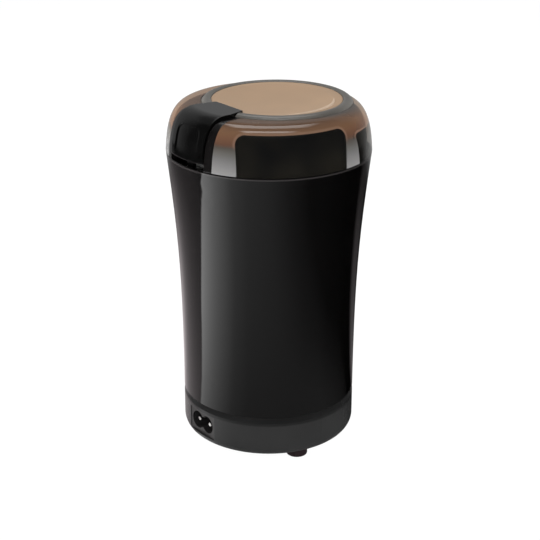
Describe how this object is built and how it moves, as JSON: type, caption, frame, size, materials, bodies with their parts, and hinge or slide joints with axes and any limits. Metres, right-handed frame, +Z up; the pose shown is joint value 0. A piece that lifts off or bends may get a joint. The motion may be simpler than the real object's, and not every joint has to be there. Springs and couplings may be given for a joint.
{
  "type": "electric spice grinder",
  "caption": "Electric spice and coffee grinder: flared round casing, steel bowl with a twin blade, lift-off lid with a press lever that works the switch.",
  "frame": {"origin": "on the floor plane under the middle of the round body, where the feet stand", "axes": "+Z up; -Y towards the press lever and the mains inlet; +X to the right of someone facing the lever"},
  "size_m": [0.098, 0.098, 0.1725],
  "materials": {
    "black_gloss": "glossy moulded ABS",
    "brown_clear": "glossy see-through brown",
    "lever_black": "glossy moulded ABS",
    "housing_brown": "glossy moulded ABS",
    "grey_trim": "satin moulded ABS",
    "tan_dish": "satin moulded ABS",
    "black_matte": "satin moulded",
    "rubber": "soft rubber",
    "bowl_steel": "drawn stainless steel",
    "blade_steel": "ground stainless steel",
    "screw_steel": "zinc plated steel",
    "spring_steel": "spring steel wire",
    "bearing_steel": "turned steel",
    "core_steel": "stacked steel sheets",
    "bracket_zinc": "pressed sheet",
    "copper_wire": "enamelled copper wire",
    "contact_brass": "turned brass",
    "carbon": "pressed carbon",
    "white_nylon": "moulded nylon",
    "board_green": "coated board",
    "capacitor_yellow": "potted case"
  },
  "bodies": {
    "base": {"body_casing": "black_gloss", "base_shell": "black_gloss", "inlet_socket": "black_matte", "microswitch": "black_matte", "brush_holder_left": "black_matte", "brush_holder_right": "black_matte", "rubber_foot_1": "rubber", "rubber_foot_2": "rubber", "rubber_foot_3": "rubber", "rubber_mounts": "rubber", "bowl_gasket": "rubber", "shaft_seal": "rubber", "grinding_bowl": "bowl_steel", "base_screws": "screw_steel", "mount_screws": "screw_steel", "stator_screws": "screw_steel", "bracket_screws": "screw_steel", "brush_springs": "spring_steel", "upper_bearing": "bearing_steel", "lower_bearing": "bearing_steel", "stator_core": "core_steel", "motor_top_bracket": "bracket_zinc", "motor_bottom_bracket": "bracket_zinc", "switch_bracket": "bracket_zinc", "field_coils": "copper_wire", "inlet_pins": "contact_brass", "carbon_brush_left": "carbon", "carbon_brush_right": "carbon", "shaft_bush": "white_nylon", "filter_board": "board_green", "filter_capacitor": "capacitor_yellow"},
    "rotor": {"rotor_shaft": "blade_steel", "armature_core": "core_steel", "armature_windings": "copper_wire", "commutator": "contact_brass", "cooling_fan": "white_nylon", "blade_hub": "blade_steel", "grinding_blade": "blade_steel", "blade_nut": "blade_steel"},
    "plunger": {"switch_plunger": "black_matte", "plunger_spring": "spring_steel"},
    "button": {"switch_button": "white_nylon"},
    "lid": {"lid_shell": "brown_clear", "lid_liner": "black_matte", "lid_ring": "grey_trim", "lid_dish": "tan_dish", "lever_housing": "housing_brown", "lever_hinge_pin": "blade_steel"},
    "lever": {"press_lever": "lever_black"}
  },
  "joints": [
    {"name": "lid_lift", "type": "slide", "parent": "base", "child": "lid", "axis": [0, 0, 1], "range_m": [0, 0.07]},
    {"name": "lever_press", "type": "hinge", "parent": "lid", "child": "lever", "pos_m": [0, -0.0255, 0.1655], "axis": [1, 0, 0], "range_deg": [0, 7], "stiffness_Nm_per_rad": 0.6, "springref_deg": -2.86},
    {"name": "plunger_slide", "type": "slide", "parent": "base", "child": "plunger", "axis": [0, 0, -1], "range_m": [0, 0.00232], "deforming": ["plunger_spring"]},
    {"name": "button_slide", "type": "slide", "parent": "base", "child": "button", "axis": [0, 0, -1], "range_m": [0, 0.00232]},
    {"name": "blade_spin", "type": "hinge", "parent": "base", "child": "rotor", "pos_m": [0, 0, 0.1], "axis": [0, 0, 1], "continuous": true}
  ],
  "couplings": [
    {"joint": "plunger_slide", "follows": "lever_press", "m_per_rad": 0.01898},
    {"joint": "button_slide", "follows": "lever_press", "m_per_rad": 0.01898}
  ]
}
